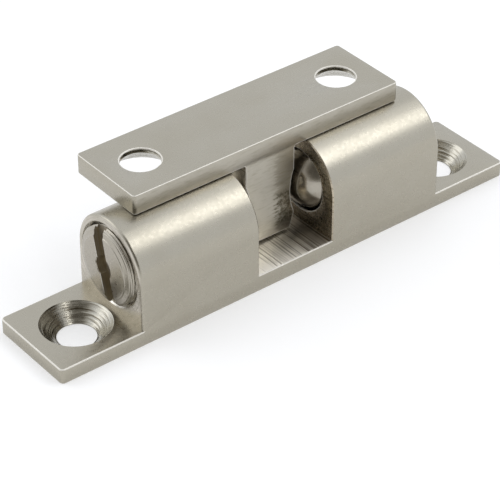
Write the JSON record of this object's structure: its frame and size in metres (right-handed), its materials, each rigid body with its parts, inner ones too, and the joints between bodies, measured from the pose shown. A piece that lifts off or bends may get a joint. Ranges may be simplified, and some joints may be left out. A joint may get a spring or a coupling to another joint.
{
  "type": "double ball catch",
  "caption": "Double ball catch with adjustable tension: a slotted foot with sprung balls in two barrels holds the tongue of a separate striker plate.",
  "frame": {"origin": "centre of the underside of the foot", "axes": "+X along the foot, +Y from front to back across it, +Z out of the face it is screwed to, towards the striker"},
  "size_m": [0.06, 0.0144, 0.0149],
  "materials": {
    "nickel_plate": "satin nickel plating over brass",
    "ball_steel": "polished hard steel",
    "spring_steel": "drawn wire"
  },
  "bodies": {
    "catch": {"catch_body": "nickel_plate"},
    "striker": {"striker": "nickel_plate"},
    "ball_left": {"ball_left": "ball_steel"},
    "spring_left": {"spring_left": "spring_steel"},
    "screw_left": {"adjusting_screw_left": "nickel_plate"},
    "ball_right": {"ball_right": "ball_steel"},
    "spring_right": {"spring_right": "spring_steel"},
    "screw_right": {"adjusting_screw_right": "nickel_plate"}
  },
  "joints": [
    {"name": "striker_pull", "type": "slide", "parent": "catch", "child": "striker", "axis": [0, 0, 1], "range_m": [0, 0.012]},
    {"name": "ball_left_press", "type": "slide", "parent": "catch", "child": "ball_left", "axis": [-1, 0, 0], "range_m": [-0.0005, 0.0012], "stiffness_N_per_m": 800, "springref_m": -0.0025, "deforming": ["spring_left"]},
    {"name": "screw_left_advance", "type": "slide", "parent": "catch", "child": "spring_left", "axis": [1, 0, 0], "range_m": [-0.00075, 0.0015]},
    {"name": "screw_left_turn", "type": "hinge", "parent": "spring_left", "child": "screw_left", "pos_m": [-0.0208, 0, 0.0071], "axis": [1, 0, 0], "range_deg": [-360, 720]},
    {"name": "ball_right_press", "type": "slide", "parent": "catch", "child": "ball_right", "axis": [1, 0, 0], "range_m": [-0.0005, 0.0012], "stiffness_N_per_m": 800, "springref_m": -0.0025, "deforming": ["spring_right"]},
    {"name": "screw_right_advance", "type": "slide", "parent": "catch", "child": "spring_right", "axis": [-1, 0, 0], "range_m": [-0.00075, 0.0015]},
    {"name": "screw_right_turn", "type": "hinge", "parent": "spring_right", "child": "screw_right", "pos_m": [0.0208, 0, 0.0071], "axis": [-1, 0, 0], "range_deg": [-360, 720]}
  ],
  "couplings": [
    {"joint": "screw_left_turn", "follows": "screw_left_advance", "rad_per_m": 8377.6},
    {"joint": "screw_right_turn", "follows": "screw_right_advance", "rad_per_m": 8377.6}
  ]
}
